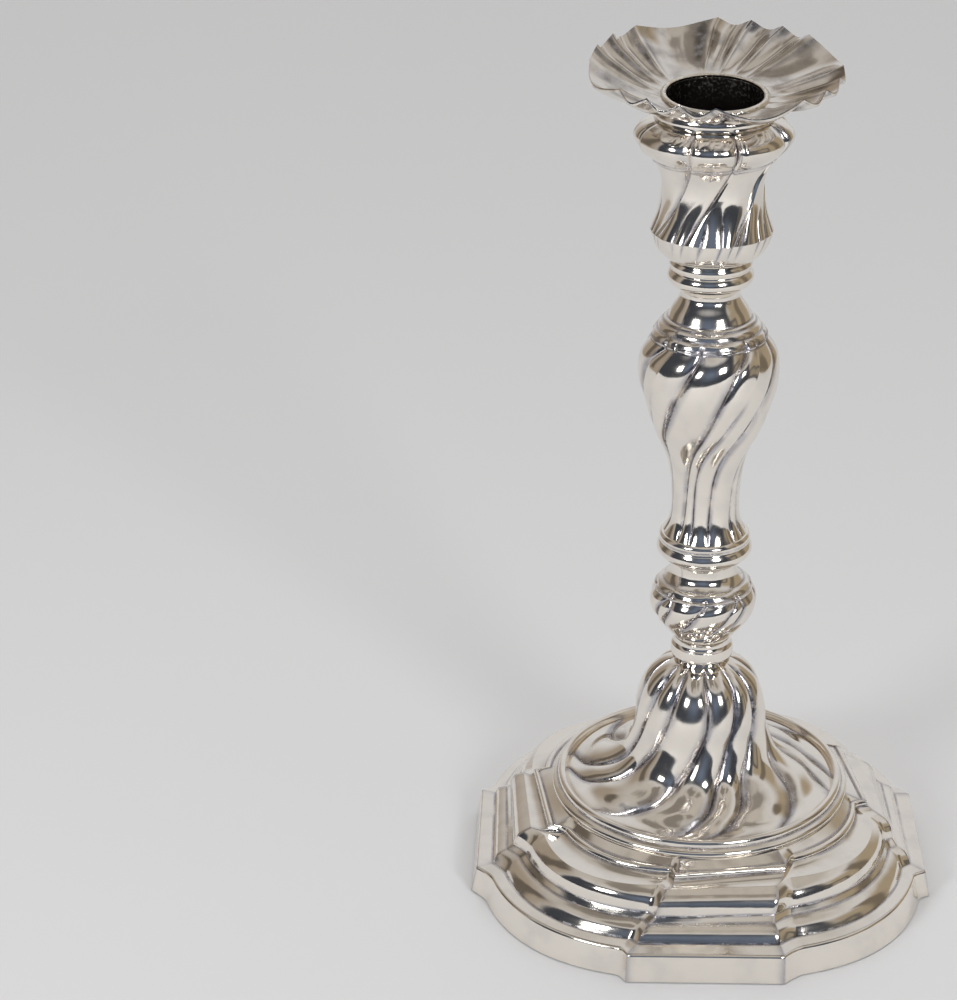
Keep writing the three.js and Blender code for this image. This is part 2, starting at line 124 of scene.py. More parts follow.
STEM = [
    [
        (10.0, 91.7, -43, -22, 6, 0.3, 0.3, 0.3),
        (8.8, 94.5, -42, -22, 6, 0.9, 0.8, 0.8),
        (8.2, 99.8, -38, -21, 8, 1.0, 0.9, 0.9),
        (8.5, 106.0, -33, -18, 12, 1.1, 0.9, 1.0),
        (10.2, 113.0, -21, -6, 22, 1.2, 0.9, 1.2),
        (12.9, 118.7, -6, 10, 35, 1.4, 0.9, 1.4),
        (14.8, 124.6, 6, 24, 50, 1.5, 0.6, 1.5),
        (16.2, 129.8, 13, 34, 60, 1.5, 0.2, 1.5),
        (16.5, 133.6, 19, 40, 67, 1.5, 0, 1.5),
        (16.0, 138.0, 27, 47, 75, 1.3, 0, 1.3),
        (13.6, 141.9, 41, 55, 82, 0.9, 0, 0.9),
    ],
    [
        (13.6, 141.9, 41, 55, 82, 1.1, 0.4, 1.1),
        (13.9, 142.3, 41, 55, 82, 1.2, 0.5, 1.2),
        (13.5, 142.7, 41, 55, 82, 1.0, 0.4, 1.0),
    ],
    [
        (13.5, 142.7, 41, 55, 82, 1.0, 0.4, 1.0),
        (13.1, 143.6, 41, 55, 82, 0.5, 0.2, 0.5),
        (12.1, 144.3, 41, 55, 82, 0, 0, 0),
    ],
    [
        (12.1, 144.3, 41, 55, 82, 0, 0, 0),
        (11.8, 145.3, 41, 55, 82, 0, 0, 0),
        (10.8, 146.1, 41, 55, 82, 0, 0, 0),
    ],
    [
        (10.8, 146.1, 41, 55, 82, 0, 0, 0),
        (10.5, 146.6, 41, 55, 82, 0, 0, 0),
        (9.8, 146.8, 41, 55, 82, 0, 0, 0),
    ],
    [
        (9.8, 146.8, 41, 55, 82, 0, 0, 0),
        (8.9, 148.9, 41, 55, 82, 0, 0, 0),
        (7.4, 151.2, 41, 55, 82, 0, 0, 0),
        (6.9, 152.4, 41, 55, 82, 0, 0, 0),
        (7.3, 153.8, 41, 55, 82, 0, 0, 0),
        (8.4, 154.9, 41, 55, 82, 0, 0, 0),
    ],
]
STEM_INSIDE = [
    (6.2, 154.9), (5.3, 152.2), (7.2, 147.0), (12.6, 138.6),
    (12.6, 131.3), (5.8, 106.0), (5.8, 99.0), (7.4, 91.7),
]

SOCKET = [
    [
        (9.2, 160.9, 12, 20, 45, 55, 73, 93, 0, 0, 0, 0, 0, 0),
        (12.6, 163.8, 15, 23, 47, 57, 75, 95, 0.1, 0.1, 0.1, 0.1, 0.1, 0.3),
        (14.3, 168.0, 20, 28, 51, 62, 80, 100, 0.6, 0.6, 0.6, 0.6, 0.6, 0.6),
    ],
    [
        (14.3, 168.0, 20, 28, 51, 62, 80, 100, 0.6, 0.6, 0.6, 0.6, 0.6, 0.6),
        (13.1, 171.2, 29, 36, 55, 69, 83, 101, 0.9, 0.7, 0.6, 0.9, 0.6, 0.7),
        (12.2, 174.6, 42, 45, 63, 80, 86, 102, 0.9, 0.3, 0.2, 0.9, 0.3, 0.4),
        (11.8, 177.6, 51, 53, 72, 90, 94, 103, 0.9, 0, 0, 0.9, 0, 0),
        (12.2, 181.6, 61, 63, 83, 102, 104, 108, 0.8, 0, 0, 0.8, 0, 0),
        (14.0, 185.1, 69, 71, 90, 108, 110, 113, 0.6, 0, 0, 0.6, 0, 0),
    ],
    [
        (14.0, 185.1, 69, 71, 90, 108, 110, 113, 0.6, 0, 0, 0.6, 0, 0),
        (14.5, 185.4, 69, 71, 90, 108, 110, 113, 0.6, 0, 0, 0.6, 0, 0),
        (14.7, 185.9, 70, 72, 90, 108, 110, 113, 0.6, 0, 0, 0.6, 0, 0),
    ],
    [
        (14.7, 185.9, 70, 72, 90, 108, 110, 113, 0.6, 0, 0, 0.6, 0, 0),
        (16.6, 187.5, 71, 73, 90, 109, 111, 114, 1.5, 0.4, 0, 1.5, 0.4, 0),
        (18.2, 190.3, 71, 73, 90, 109, 111, 114, 2.5, 0.9, 0, 2.5, 0.9, 0),
        (17.2, 192.4, 71, 73, 90, 109, 111, 114, 2.2, 0.8, 0, 2.2, 0.8, 0),
        (14.0, 194.1, 71, 73, 90, 109, 111, 114, 0.7, 0.2, 0, 0.7, 0.2, 0),
    ],
]
SOCKET_INSIDE = [(12.8, 194.1), (12.8, 184.6), (9.2, 177.5), (10.6, 167.5), (7.0, 160.9)]

# Drip pan: radius, height, the four ridges of a quarter, and how high the ridges stand.
PAN = [
    [
        (12.4, 199.35, 12, 54, 70, 86, 0.1),
        (14.6, 199.8, 10, 52, 68, 84, 0.5),
        (18.2, 201.1, 7, 49, 65, 81, 1.2),
        (22.4, 203.0, 4, 46, 62, 78, 1.8),
        (25.9, 204.8, 2, 44, 60, 76, 2.1),
        (28.0, 206.2, 0, 42, 58, 74, 2.2),
    ],
]
PAN_STEP = 0.35
PAN_COLUMNS = 18               # between two ridges
PAN_THICKNESS = 0.8
PAN_SCALLOP = 0.7              # how far the rim stands out between two ridges
PAN_LIFT = 2.2                 # height of the ridges at the rim, as in the table
PAN_DEEPER = 1.15              # ridges stand this many times as high as the table says
PAN_BOWL = 0.55                # share of a bowl in the shape between two ridges
PAN_WAVE = 0.45                # share of a gentle wave
PAN_RIM = 0.15                 # how far the edge of the rim stands out

# Foot: distance of the flats, height, half angle of a flat, turn of the outline, radius of the
# dips beside a flat, radius of the middle of a bowed side, and 1 where the level is round.
BAND = [
    [(57.0, 0.0, 18.2, 2.6, 58.0, 60.0, 0), (55.8, 6.2, 18.4, 2.8, 56.7, 58.4, 0)],
    [
        (55.8, 6.2, 18.4, 2.8, 56.7, 58.4, 0),
        (55.6, 6.65, 18.4, 2.8, 56.5, 58.2, 0),
        (55.1, 6.8, 18.4, 2.8, 56.0, 57.7, 0),
    ],
]
MOULDING = [
    [(55.2, 6.85, 18.4, 2.8, 56.1, 57.8, 0), (51.9, 7.4, 18.0, 3.6, 53.1, 55.2, 0)],
    [
        (51.9, 7.4, 18.0, 3.6, 53.1, 55.2, 0),
        (50.8, 9.6, 17.6, 4.1, 51.6, 53.6, 0),
        (48.5, 10.9, 17.2, 4.6, 49.1, 51.0, 0),
    ],
    [(48.5, 10.9, 17.2, 4.6, 49.1, 51.0, 0), (47.2, 12.3, 16.8, 5.7, 47.8, 49.8, 0)],
    [
        (47.2, 12.3, 16.8, 5.7, 47.8, 49.8, 0),
        (46.4, 15.4, 17.0, 6.8, 46.8, 49.4, 0),
        (43.4, 17.6, 17.2, 8.0, 43.8, 47.2, 0),
    ],
    [
        (43.4, 17.6, 17.2, 8.0, 43.8, 47.2, 0),
        (41.3, 18.1, 18.0, 10.6, 41.1, 43.1, 0),
        (40.3, 18.8, 18.4, 11.4, 39.9, 41.4, 0),
    ],
    [
        (40.3, 18.8, 18.4, 11.4, 39.9, 41.4, 0),
        (40.2, 19.7, 18.5, 11.6, 39.7, 41.2, 0),
        (39.5, 20.2, 18.8, 12.2, 39.0, 40.3, 0),
        (38.8, 19.8, 19.0, 12.7, 38.3, 39.3, 0),
    ],
    [(38.8, 19.8, 19.0, 12.7, 38.3, 39.3, 0), (36.4, 21.5, 19.0, 12.7, 36.4, 36.4, 1)],
]
FOOT_WALL = 1.3
LONG_DIP = 6.0                 # degrees from a flat to the bowed side
SHORT_DIP = 3.0                # degrees from the bowed side to the next flat
FLAT_COLUMNS = 12
LONG_DIP_COLUMNS = 8
BOW_COLUMNS = 26
SHORT_DIP_COLUMNS = 6
BOW_EASE = 0.3

# Plain rings: closed profiles of radius and height, as runs.
BEAD_RING = [
    [(33.6, 22.4), (36.8, 21.1)],
    [(36.8, 21.1), (36.9, 22.7), (35.5, 23.6)],
    [(35.5, 23.6), (35.35, 24.8), (34.4, 25.4), (33.7, 25.0)],
    [(33.7, 25.0), (33.6, 22.4)],
]
KNOP_FOOT_RING = [
    [(5.2, 56.95), (6.9, 56.95)],
    [(6.9, 56.95), (7.6, 59.0), (7.5, 61.2)],
    [(7.5, 61.2), (6.9, 61.9), (6.8, 62.6), (7.0, 63.45)],
    [(7.0, 63.45), (5.2, 63.45)],
    [(5.2, 63.45), (5.2, 56.95)],
]
STEM_FOOT_RING = [
    [(6.0, 85.1), (9.6, 85.1)],
    [(9.6, 85.1), (11.0, 86.3), (11.5, 87.6), (11.0, 89.0)],
    [(11.0, 89.0), (10.7, 89.5), (10.8, 90.0)],
    [(10.8, 90.0), (10.95, 90.7), (10.4, 91.65)],
    [(10.4, 91.65), (6.0, 91.65)],
    [(6.0, 91.65), (6.0, 85.1)],
]
SOCKET_FOOT_RING = [
    [(5.4, 154.95), (8.9, 154.95)],
    [(8.9, 154.95), (9.9, 156.2), (10.0, 157.2), (9.5, 158.3)],
    [(9.5, 158.3), (9.2, 158.8), (9.4, 159.2)],
    [(9.4, 159.2), (9.6, 159.9), (9.2, 160.85)],
    [(9.2, 160.85), (5.4, 160.85)],
    [(5.4, 160.85), (5.4, 154.95)],
]
SOCKET_MOUTH_RING = [
    [(12.8, 194.15), (13.4, 194.15)],
    [(13.4, 194.15), (13.9, 195.8), (13.4, 197.1)],
    [(13.4, 197.1), (12.8, 197.1)],
    [(12.8, 197.1), (12.8, 194.15)],
]
NOZZLE_SLEEVE = [
    [(11.0, 189.6), (11.6, 189.6)],
    [(11.6, 189.6), (11.6, 199.0)],
    [(11.6, 199.0), (12.4, 199.4), (12.0, 199.9), (11.5, 200.1), (11.0, 199.8)],
    [(11.0, 199.8), (11.0, 189.6)],
]
BASE_BOARD = [
    [(0.01, 1.6), (52.2, 1.6)],
    [(52.2, 1.6), (52.8, 1.8), (53.0, 2.4)],
    [(53.0, 2.4), (53.0, 5.0)],
    [(53.0, 5.0), (52.8, 5.5), (52.2, 5.6)],
    [(52.2, 5.6), (0.01, 5.6)],
]
BAIZE_RADIUS = 52.4
BAIZE_LOW = 0.5
BAIZE_HIGH = 1.55
BAIZE_EDGE = 1.2               # width of the frayed edge
BAIZE_SMOOTH = 51              # the face is puckered within this radius
BAIZE_COLUMNS = 720

# ---------------------------------------------------------------- curves


def eased(count, ease=EASE):
    """Values from 0 to 1 that gather at both ends."""
    t = np.linspace(0, 1, count + 1)
    return (1 - ease) * t + ease * (1 - np.cos(math.pi * t)) / 2


def natural_spline(knots, values, where):
    """Natural cubic spline through values, a row for each knot."""
    n = len(knots)
    if n == 2:
        t = (where - knots[0]) / (knots[1] - knots[0])
        return values[0] + (values[1] - values[0]) * t[:, None]
    h = np.diff(knots)
    slope = np.diff(values, axis=0) / h[:, None]
    matrix = np.eye(n)
    right = np.zeros_like(values)
    for i in range(1, n - 1):
        matrix[i, i - 1:i + 2] = h[i - 1], 2 * (h[i - 1] + h[i]), h[i]
        right[i] = 6 * (slope[i] - slope[i - 1])
    bend = np.linalg.solve(matrix, right)
    i = np.clip(np.searchsorted(knots, where) - 1, 0, n - 2)
    a = ((knots[i + 1] - where) / h[i])[:, None]
    b = ((where - knots[i]) / h[i])[:, None]
    straight = a * values[i] + b * values[i + 1]
    curved = (a ** 3 - a) * bend[i] + (b ** 3 - b) * bend[i + 1]
    return straight + curved * (h[i] ** 2)[:, None] / 6


def folded_in(runs, k):
    """Whether runs k - 1 and k meet in a crease, not in an edge that stands out."""
    if not 0 < k < len(runs):
        return False
    before = np.subtract(runs[k - 1][-1][:2], runs[k - 1][-2][:2])
    after = np.subtract(runs[k][1][:2], runs[k][0][:2])
    return before[0] * after[1] - before[1] * after[0] < 0


def fine_profile(runs, step):
    """Rows of a profile, about step millimetres apart, and how far each is from a crease."""
    rows, edges = [], []
    for k, run in enumerate(runs):
        stations = np.array(run, float)
        along = np.hypot(*np.diff(stations[:, :2], axis=0).T)
        knots = np.concatenate([[0], np.cumsum(along)])
        count = max(3, int(math.ceil(knots[-1] / step)))
        where = knots[-1] * eased(count)
        fine = natural_spline(knots, stations, where)
        below = where if folded_in(runs, k) else FAR
        above = knots[-1] - where if folded_in(runs, k + 1) else FAR
        near = np.minimum(below, above) + 0 * where
        first = 1 if k else 0
        rows.append(fine[first:])
        edges.append(near[first:])
    return np.concatenate(rows), np.concatenate(edges)


def place(radius, angle, height):
    """Points in metres, from millimetres and degrees round the axis."""
    direction = np.radians(np.asarray(angle, float) - 90)
    radius = np.asarray(radius, float)
    height = np.asarray(height, float) + 0 * direction
    return np.stack([radius * np.cos(direction), radius * np.sin(direction), height], -1) * MM


def lobe_swell(across, width):
    """How far a lobe swells, from 0 at its two grooves to 1 in the middle of a wide lobe."""
    fullness = np.minimum(1, np.sqrt(width / WIDE_LOBE))
    return fullness * np.maximum(0, 4 * across * (1 - across)) ** LOBE_POWER


def profile_normals(rows):
    """Directions that point out of a profile, as radius and height."""
    along = np.gradient(rows[:, :2], axis=0)
    along /= np.linalg.norm(along, axis=1)[:, None]
    return np.stack([along[:, 1], -along[:, 0]], -1)


# ---------------------------------------------------------------- meshes


def grid_mesh(name, points, marks=None):
    """A closed mesh from rows of points round the axis. The last row joins the first, and the
    last column joins the first. marks are values per point, kept as attributes."""
    count, columns = points.shape[:2]
    mesh = bpy.data.meshes.new(name)
    i, k = np.meshgrid(np.arange(count), np.arange(columns), indexing="ij")
    above = (i + 1) % count
    beside = (k + 1) % columns
    corners = (i * columns + k, i * columns + beside, above * columns + beside, above * columns + k)
    faces = np.stack(corners, -1).reshape(-1, 4)
    mesh.from_pydata(points.reshape(-1, 3).tolist(), [], faces.tolist())
    for label, values in (marks or {}).items():
        attribute = mesh.attributes.new(label, "FLOAT", "POINT")
        attribute.data.foreach_set("value", np.asarray(values, np.float32).ravel())
    face_outward(mesh)
    return mesh


def face_outward(mesh):
    """Turns a closed mesh's faces outward."""
    work = bmesh.new()
    work.from_mesh(mesh)
    if work.calc_volume(signed=True) < 0:
        bmesh.ops.reverse_faces(work, faces=work.faces)
    work.to_mesh(mesh)
    work.free()


def add_piece(name, mesh, body, slot, material, *nodes):
    """Adds a mesh as the visible piece in place of CAD nodes."""
    mesh.polygons.foreach_set("use_smooth", [True] * len(mesh.polygons))
    mesh.set_sharp_from_angle(angle=SHARP)
    mesh.materials.append(material)
    piece = bpy.data.objects.new(name, mesh)
    bpy.context.scene.collection.objects.link(piece)
    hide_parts(*nodes)
    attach(piece, body)
    return piece


def columns_along(edges, per_lobe):
    """For each row and column: its angle, the lobe that it is in, how wide that lobe is, and
    where across the lobe it lies, from 0 to 1. Columns follow the grooves."""
    count = edges.shape[1]
    following = np.concatenate([edges, edges[:, :1] + REPEAT], axis=1)
    across = eased(per_lobe)[:-1]
    angles, lobes, widths, positions = [], [], [], []
    for quarter in range(QUARTERS):
        for i in range(count):
            width = following[:, i + 1] - following[:, i]
            angles.append(quarter * REPEAT + following[:, i, None] + width[:, None] * across)
            widths.append(np.repeat(width[:, None], per_lobe, axis=1))
            positions.append(np.tile(across, (len(edges), 1)))
            lobes += [i] * per_lobe
    angles, widths, positions = (np.concatenate(part, 1) for part in (angles, widths, positions))
    return angles, np.array(lobes), widths, positions


def crease_marks(edges, columns, reach=CREASE_REACH):
    """Marks of whole rows, 1 in a crease and fading with the distance from it."""
    return np.exp(-(edges / reach) ** 2)[:, None] * np.ones((1, columns))


def fluted_points(runs, step, per_lobe):
    """Outside of a fluted casting: points, groove and crease marks, and angles of the columns."""
    rows, edges = fine_profile(runs, step)
    count = (rows.shape[1] - 2) // 2
    grooves = rows[:, 2:2 + count]
    depths = np.maximum(0, rows[:, 2 + count:])
    angles, lobes, widths, across = columns_along(grooves, per_lobe)
    here = depths[:, lobes]
    there = depths[:, (lobes + 1) % count]
    depth = here + (there - here) * across
    swell = lobe_swell(across, widths)
    depth = depth * (1 - swell)
    normal = profile_normals(rows)
    radius = rows[:, :1] - normal[:, :1] * depth
    height = rows[:, 1:2] - normal[:, 1:] * depth
    points = place(radius, angles, height)
    beside_groove = 1 - lobe_swell(across, WIDE_LOBE)
    groove_tarnish_and_ridge_shadow = np.clip(1.8 * beside_groove - 0.1, 0, 1) * np.clip(depth / TARNISH_DEPTH, 0, 1)
    aside = (angles - SEAM + 90) % 180 - 90
    seam = np.exp(-(aside / SEAM_REACH) ** 2) * (depths.max(axis=1) < PLAIN_DEPTH)[:, None]
    crease = np.maximum(crease_marks(edges, angles.shape[1]), seam)
    return points, groove_tarnish_and_ridge_shadow, crease, angles


def inside_points(profile, angles, outside_height):
    """Inside of a casting, with the columns of the nearest rows outside."""
    rings = []
    for radius, height in profile:
        nearest = int(np.argmin(np.abs(outside_height - height)))
        rings.append(place(radius, angles[nearest], height))
    return np.stack(rings)


def with_inside(marks, inside):
    """Marks of the outside, followed by those of the rows inside, with a mark "inside"."""
    hidden = np.zeros(inside.shape[:2])
    longer = {label: np.concatenate([values, hidden]) for label, values in marks.items()}
    outside = np.zeros_like(next(iter(marks.values())))
    longer["inside"] = np.concatenate([outside, hidden + 1])
    return longer


def shell_mesh(name, runs, inside, step, per_lobe):
    """A hollow fluted casting, with rows step apart and per_lobe columns in each lobe."""
    outside, groove_tarnish_and_ridge_shadow, crease, angles = fluted_points(runs, step, per_lobe)
    rings = inside_points(inside, angles, outside[:, 0, 2] / MM)
    marks = {"groove_tarnish_and_ridge_shadow": groove_tarnish_and_ridge_shadow, "crease": crease}
    return grid_mesh(name, np.concatenate([outside, rings]), with_inside(marks, rings))


def half_of(mesh, name, side):
    """The half of a casting on one side of the seam plane, closed where it is cut."""
    across = np.radians(SEAM)
    normal = Vector((math.cos(across), math.sin(across), 0)) * side
    work = bmesh.new()
    work.from_mesh(mesh)
    geometry = work.verts[:] + work.edges[:] + work.faces[:]
    cut = bmesh.ops.bisect_plane(
        work, geom=geometry, dist=1e-7, plane_co=(0, 0, 0), plane_no=normal, clear_inner=True)
    rim = [e for e in cut["geom_cut"] if isinstance(e, bmesh.types.BMEdge)]
    bmesh.ops.triangle_fill(work, edges=rim, use_beauty=True)
    half = bpy.data.meshes.new(name)
    bmesh.ops.recalc_face_normals(work, faces=work.faces)
    work.to_mesh(half)
    work.free()
    return half


def add_cast_pair(name, runs, inside, step, per_lobe, material):
    """A casting that was made in two halves."""
    whole = shell_mesh(name + "_whole", runs, inside, step, per_lobe)
    for label, side in (("right", 1), ("left", -1)):
        node = f"{name}_half_{label}"
        half = half_of(whole, node + "_fine", side)
        add_piece(node + "_fine", half, "stick", "silver", material, node)
    bpy.data.meshes.remove(whole)


def ring_mesh(name, runs, step, columns):
    """A ring from a closed profile, without grooves."""
    rows, edges = fine_profile(runs, step)
    rows = rows[:-1]
    edges = edges[:-1]
    angles = np.linspace(0, 360, columns, endpoint=False)
    points = place(rows[:, :1], angles[None, :], rows[:, 1:2])
    crease = crease_marks(edges, columns)
    return grid_mesh(name, points, {"groove_tarnish_and_ridge_shadow": 0 * crease, "crease": crease})


def lean(mesh):
    """Sets a part of the nozzle askew, as the CAD model does."""
    pivot = Vector((0, 0, NOZZLE_PIVOT * MM))
    front = Matrix.Rotation(math.radians(NOZZLE_LEAN_FRONT), 4, "X")
    right = Matrix.Rotation(math.radians(NOZZLE_LEAN_RIGHT), 4, "Y")
    mesh.transform(Matrix.Translation(pivot) @ front @ right @ Matrix.Translation(-pivot))


def sleeve_mesh(name):
    """The nozzle's sleeve. Its mark "rise" is the height before it leans, in metres."""
    mesh = ring_mesh(name, NOZZLE_SLEEVE, step=0.25, columns=144)
    rise = mesh.attributes.new("rise", "FLOAT", "POINT")
    rise.data.foreach_set("value", [vertex.co.z for vertex in mesh.vertices])
    lean(mesh)
    return mesh


def pan_mesh(name):
    """The drip pan: hollows between ridges, painted shadow beside the ridges, and a rounded rim."""
    rows, _ = fine_profile(PAN, PAN_STEP)
    ridges = rows[:, 2:6]
    lift = rows[:, 6:7] * PAN_DEEPER
    angles, _, widths, across = columns_along(ridges, PAN_COLUMNS)
    bowl = lobe_swell(across, widths) ** 1.4
    wave = np.sin(math.pi * across) ** 2 * np.minimum(1, widths / WIDE_LOBE * 2)
    hollow = PAN_BOWL * bowl + PAN_WAVE * wave
    height = rows[:, 1:2] + lift * (0.5 - hollow)
    radius = rows[:, :1] + PAN_SCALLOP * hollow * lift / PAN_LIFT
    top = place(radius, angles, height)
    under = place(radius, angles, height - PAN_THICKNESS)
    rim = place(radius[-1:] + PAN_RIM, angles[-1:], height[-1:] - PAN_THICKNESS / 2)
    points = np.concatenate([top, rim, under[::-1]])
    # Painted shadow beside each ridge: a dark line just after it and a fainter one just before it,
    # stronger where the ridges stand high.
    after_ridge = np.exp(-((across - 0.14) / 0.07) ** 2)
    before_ridge = np.exp(-((across - 0.9) / 0.05) ** 2)
    ridge_shadow = np.clip(1.3 * (after_ridge + 0.6 * before_ridge), 0, 1)
    groove_tarnish_and_ridge_shadow = np.clip(lift / PAN_LIFT + 0.2, 0, 1) * ridge_shadow
    marks = np.concatenate([groove_tarnish_and_ridge_shadow, groove_tarnish_and_ridge_shadow[-1:], groove_tarnish_and_ridge_shadow[::-1]])
    mesh = grid_mesh(name, points, {"groove_tarnish_and_ridge_shadow": marks, "crease": 0 * marks})
    lean(mesh)
    return mesh


def foot_row(level, inset=0.0, drop=0.0):
    """Outline of the foot at one level: a flat, a long dip, a bowed side and a short dip."""
    flat, height, half, turn, dip, bow, roundness = level
    corner = flat / math.cos(math.radians(half))
    corner += (flat - corner) * roundness
    local = half * (2 * eased(FLAT_COLUMNS) - 1)
    straight = flat / np.cos(np.radians(local))
    angles = [local]
    radii = [straight + (flat - straight) * roundness]
    t = eased(LONG_DIP_COLUMNS)[1:]
    angles.append(half + LONG_DIP * t)
    radii.append(corner + (dip - corner) * np.sin(t * math.pi / 2))
    t = eased(BOW_COLUMNS, BOW_EASE)[1:]
    start = half + LONG_DIP
    end = REPEAT - half - SHORT_DIP
    angles.append(start + (end - start) * t)
    radii.append(dip + (bow - dip) * np.sin(t * math.pi))
    t = eased(SHORT_DIP_COLUMNS)[1:-1]
    angles.append(end + SHORT_DIP * t)
    radii.append(dip + (corner - dip) * (1 - np.cos(t * math.pi / 2)))
    angles = np.concatenate(angles)
    radii = np.concatenate(radii) - inset
    whole = np.concatenate([angles + turn + REPEAT * quarter for quarter in range(QUARTERS)])
    return place(np.tile(radii, QUARTERS), whole, height - drop)


def foot_mesh(name, runs, step, inside):
    """A piece of the foot, tarnished at its corners and in its creases."""
    rows, edges = fine_profile(runs, step)
    outside = np.stack([foot_row(level) for level in rows])
    points = np.concatenate([outside, inside])
    crease = crease_marks(edges, outside.shape[1], FOOT_CREASE_REACH)
    corner = np.zeros(outside.shape[1] // QUARTERS)
    corner[[0, FLAT_COLUMNS]] = CORNER_TARNISH
    corner[[1, FLAT_COLUMNS - 1, FLAT_COLUMNS + 1, -1]] = CORNER_TARNISH / 2
    groove_tarnish_and_ridge_shadow = np.tile(corner, (len(outside), QUARTERS))
    return grid_mesh(name, points, with_inside({"groove_tarnish_and_ridge_shadow": groove_tarnish_and_ridge_shadow, "crease": crease}, inside))


def band_mesh(name):
    foot, top = BAND[0][0], BAND[-1][-1]
    inside = np.stack([foot_row(top, FOOT_WALL), foot_row(foot, FOOT_WALL)])
    return foot_mesh(name, BAND, step=0.6, inside=inside)


def moulding_mesh(name):
    """The moulding. Its inside follows the outside, and ends above the band at a thin ledge."""
    ledge = MOULDING[1][0]
    inside = [foot_row(MOULDING[-1][1], 0, FOOT_WALL)]
    for level in (MOULDING[4][1], MOULDING[3][1], MOULDING[1][1]):
        inside.append(foot_row(level, FOOT_WALL, FOOT_WALL))
    inside.append(foot_row(ledge, FOOT_WALL, ledge[1] - MOULDING[0][0][1]))
    return foot_mesh(name, MOULDING, step=0.3, inside=np.stack(inside))


def baize_mesh(name):
    """A round of cloth with a frayed edge and a slightly puckered face."""
    face = np.linspace(0.02, BAIZE_RADIUS - BAIZE_EDGE, 34)
    radii = np.concatenate([face, BAIZE_RADIUS - np.array([0.6, 0.2, 0])])
    angles = np.linspace(0, 360, BAIZE_COLUMNS, endpoint=False)
    turn = np.radians(angles)
    fray = 0.22 * np.sin(61 * turn + 2 * np.sin(7 * turn))
    fray += 0.16 * np.sin(149 * turn)
    fray += 0.12 * np.sin(233 * turn)
    loose = np.clip((radii - BAIZE_RADIUS + BAIZE_EDGE) / BAIZE_EDGE, 0, 1)[:, None]
    spread = radii[:, None] + loose * fray
    pucker = 0.07 * np.sin(radii / 3.1)[:, None] * np.sin(5 * turn)
    pucker += 0.05 * np.cos(radii / 1.7)[:, None]
    pucker *= (radii < BAIZE_SMOOTH)[:, None]
    under = place(spread, angles[None, :], BAIZE_LOW + 0.1 + pucker + 0.2 * loose)
    top = place(spread, angles[None, :], BAIZE_HIGH + 0 * spread)
    return grid_mesh(name, np.concatenate([under, top[::-1]]))


# ---------------------------------------------------------------- materials
# Noise and wave scales are per metre, and the depths of bumps are in metres.

RESIDUE = (0.66, 0.65, 0.71)
UNSEEN_SILVER = (0.075, 0.066, 0.060)
SOOT = (0.030, 0.025, 0.022)
RUBBED_SOOT = (0.42, 0.40, 0.38)
LIP_SILVER = (0.88, 0.83, 0.75)
LIP_FROM, LIP_TO = 0.1990, 0.1995          # height where the sleeve turns bright
SOOT_FROM, SOOT_TO = 0.1925, 0.1985        # height where the soot is rubbed off in spots
WOOD_DARK = (0.40, 0.27, 0.19)
WOOD_PALE = (0.55, 0.40, 0.30)
WOOD_DUST = (0.66, 0.58, 0.52)
BAIZE_DEEP = (0.075, 0.085, 0.030)
BAIZE_GREEN = (0.22, 0.23, 0.085)
BAIZE_BROWN = (0.17, 0.105, 0.05)
BAIZE_CHALK = (0.66, 0.65, 0.58)


class Nodes:
    """Short calls for building a node tree."""

    def __init__(self, tree):
        self.tree = tree

    def node(self, kind, **settings):
        made = self.tree.nodes.new(kind)
        for key, value in settings.items():
            setattr(made, key, value)
        return made

    def put(self, value, socket):
        if isinstance(value, bpy.types.NodeSocket):
            self.tree.links.new(value, socket)
        else:
            socket.default_value = value

    def math(self, operation, a, b=0.0):
        made = self.node("ShaderNodeMath", operation=operation)
        self.put(a, made.inputs[0])
        self.put(b, made.inputs[1])
        return made.outputs[0]

    def step(self, value, low, high):
        """0 at low and 1 at high, smooth between. low may be the larger of the two."""
        made = self.node("ShaderNodeMapRange", interpolation_type="SMOOTHSTEP")
        self.put(value, made.inputs["Value"])
        self.put(low, made.inputs["From Min"])
        self.put(high, made.inputs["From Max"])
        return made.outputs["Result"]

    def mix(self, share, a, b):
        """Colour a where share is 0, and b where it is 1."""
        made = self.node("ShaderNodeMix", data_type="RGBA")
        self.put(share, made.inputs[0])
        self.put(a if isinstance(a, bpy.types.NodeSocket) else (*a, 1), made.inputs[6])
        self.put(b if isinstance(b, bpy.types.NodeSocket) else (*b, 1), made.inputs[7])
        return made.outputs[2]

    def noise(self, scale, detail):
        """Noise through the whole of an object."""
        made = self.node("ShaderNodeTexNoise")
        self.put(self.node("ShaderNodeTexCoord").outputs["Object"], made.inputs["Vector"])
        made.inputs["Scale"].default_value = scale
        made.inputs["Detail"].default_value = detail
        return made.outputs["Fac"]

    def mark(self, label):
        """The marks of a mesh, which are 0 where it has none."""
        return self.node("ShaderNodeAttribute", attribute_name=label).outputs["Fac"]

    def bump(self, height, depth):
        made = self.node("ShaderNodeBump")
        made.inputs["Distance"].default_value = depth
        self.put(height, made.inputs["Height"])
        return made.outputs["Normal"]


def new_material(name):
    material = bpy.data.materials.new(name)
    material.use_nodes = True
    n = Nodes(material.node_tree)
    return material, n, material.node_tree.nodes["Principled BSDF"]


def plain_material(name, colour, roughness):
    material, _, shader = new_material(name)
    shader.inputs["Base Color"].default_value = (*colour, 1)
    shader.inputs["Roughness"].default_value = roughness
    return material


